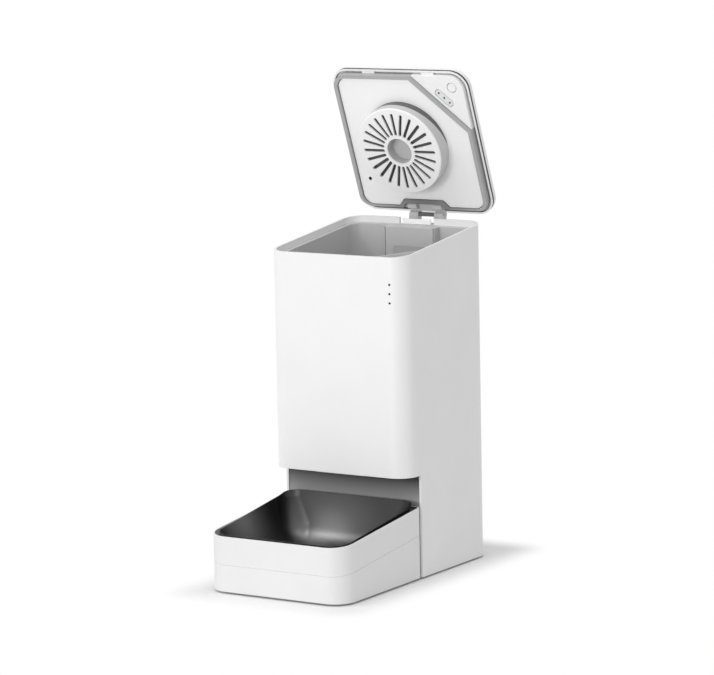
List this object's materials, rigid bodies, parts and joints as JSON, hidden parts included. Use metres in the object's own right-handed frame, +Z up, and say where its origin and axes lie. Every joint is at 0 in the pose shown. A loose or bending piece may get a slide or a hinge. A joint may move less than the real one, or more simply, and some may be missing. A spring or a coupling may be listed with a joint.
{
  "type": "pet feeder",
  "caption": "Upright dry-food feeder with an open hinged hopper lid, a desiccant box inside the lid and a tilted lift-out steel bowl in a tray.",
  "frame": {"origin": "on the surface that the feet stand on, under the middle of the object's box with its lid open", "axes": "+X across the feeder, to the right as seen from the bowl; +Y from the bowl to the rear; +Z up"},
  "size_m": [0.165, 0.3174, 0.5156],
  "materials": {
    "housing_white": "fine satin",
    "panel_white": "satin",
    "base_grey": "matte",
    "hopper_grey": "satin",
    "inner_grey": "matte",
    "smoke_plastic": "gloss",
    "lens_clear": "gloss",
    "dark_plastic": "matte",
    "seal_grey": "matte",
    "foot_rubber": "matte",
    "bowl_steel": "polished",
    "screw_steel": "satin",
    "contact_metal": "bright",
    "hinge_plastic": "satin",
    "pad_plastic": "matte",
    "board_green": "satin",
    "coil_copper": "satin",
    "gear_plastic": "satin",
    "pinion_brass": "satin",
    "motor_steel": "satin",
    "cell_jacket": "gloss",
    "pack_fabric": "non-woven"
  },
  "bodies": {
    "feeder": {"outer_shell": "housing_white", "recess_panel": "housing_white", "base_plate": "base_grey", "tray_base": "housing_white", "bowl_tray": "housing_white", "hinge_base": "panel_white", "hopper_bin": "hopper_grey", "hopper_funnel": "hopper_grey", "rotor_housing": "inner_grey", "portion_cover": "inner_grey", "food_chute": "inner_grey", "outlet_collar": "inner_grey", "battery_box": "inner_grey", "gear_plate": "inner_grey", "corner_deck": "hopper_grey", "level_window": "smoke_plastic", "level_brush": "seal_grey", "rubber_feet": "foot_rubber", "deck_lights": "lens_clear", "battery_contacts": "contact_metal", "base_screws": "screw_steel", "housing_screws": "screw_steel", "board_screws": "screw_steel", "hinge_screws": "screw_steel", "power_socket": "dark_plastic", "drop_sensors": "dark_plastic", "light_pipes": "smoke_plastic", "feed_switch": "dark_plastic", "board_connectors": "panel_white", "board_chips": "dark_plastic", "board_capacitors": "dark_plastic", "main_board": "board_green", "light_board": "board_green", "level_sensor": "board_green", "reader_coil": "coil_copper", "gear_motor": "motor_steel", "battery_cells": "cell_jacket"},
    "lid": {"lid_shell": "housing_white", "lid_panel": "panel_white", "lid_screws": "screw_steel", "lid_seal": "seal_grey", "corner_cover": "panel_white", "lens_holder": "pad_plastic", "lid_lenses": "smoke_plastic", "lid_tabs": "panel_white", "hinge_arms": "hinge_plastic", "hinge_pin": "screw_steel", "hinge_roller": "dark_plastic"},
    "desiccant_box": {"desiccant_base": "inner_grey", "desiccant_cover": "panel_white", "desiccant_pack": "pack_fabric"},
    "button": {"lid_button": "panel_white"},
    "rotor": {"dispense_rotor": "inner_grey", "rotor_shaft": "screw_steel", "stirrer": "inner_grey", "drive_gear": "gear_plastic"},
    "idler": {"idler_gear": "gear_plastic"},
    "pinion": {"motor_pinion": "pinion_brass"},
    "bowl": {"steel_bowl": "bowl_steel"},
    "cell_door": {"battery_door": "base_grey"}
  },
  "joints": [
    {"name": "lid_hinge", "type": "hinge", "parent": "feeder", "child": "lid", "pos_m": [0, 0.14229, 0.34278], "axis": [1, 0, 0], "range_deg": [0, 75.9]},
    {"name": "desiccant_twist", "type": "hinge", "parent": "lid", "child": "desiccant_box", "pos_m": [-0.004, 0.12124, 0.43529], "axis": [0, -0.9317, -0.3633], "range_deg": [0, 25]},
    {"name": "button_press", "type": "slide", "parent": "lid", "child": "button", "axis": [0, -0.9317, -0.3633], "range_m": [0, 0.001], "stiffness_N_per_m": 600, "springref_m": -0.001},
    {"name": "bowl_lift", "type": "slide", "parent": "feeder", "child": "bowl", "axis": [0, 0, 1], "range_m": [0, 0.02]},
    {"name": "rotor_spin", "type": "hinge", "parent": "feeder", "child": "rotor", "pos_m": [0, 0.04654, 0.17], "axis": [0, 0, 1], "continuous": true},
    {"name": "idler_spin", "type": "hinge", "parent": "feeder", "child": "idler", "pos_m": [0.03, 0.04654, 0.14], "axis": [0, 0, 1], "continuous": true},
    {"name": "pinion_spin", "type": "hinge", "parent": "feeder", "child": "pinion", "pos_m": [0.03, 0.07279, 0.14], "axis": [0, 0, 1], "continuous": true},
    {"name": "battery_door_slide", "type": "slide", "parent": "feeder", "child": "cell_door", "axis": [0, -1, 0], "range_m": [0, 0.012]}
  ],
  "couplings": [
    {"joint": "idler_spin", "follows": "rotor_spin", "ratio": -3},
    {"joint": "pinion_spin", "follows": "rotor_spin", "ratio": 7.5}
  ]
}
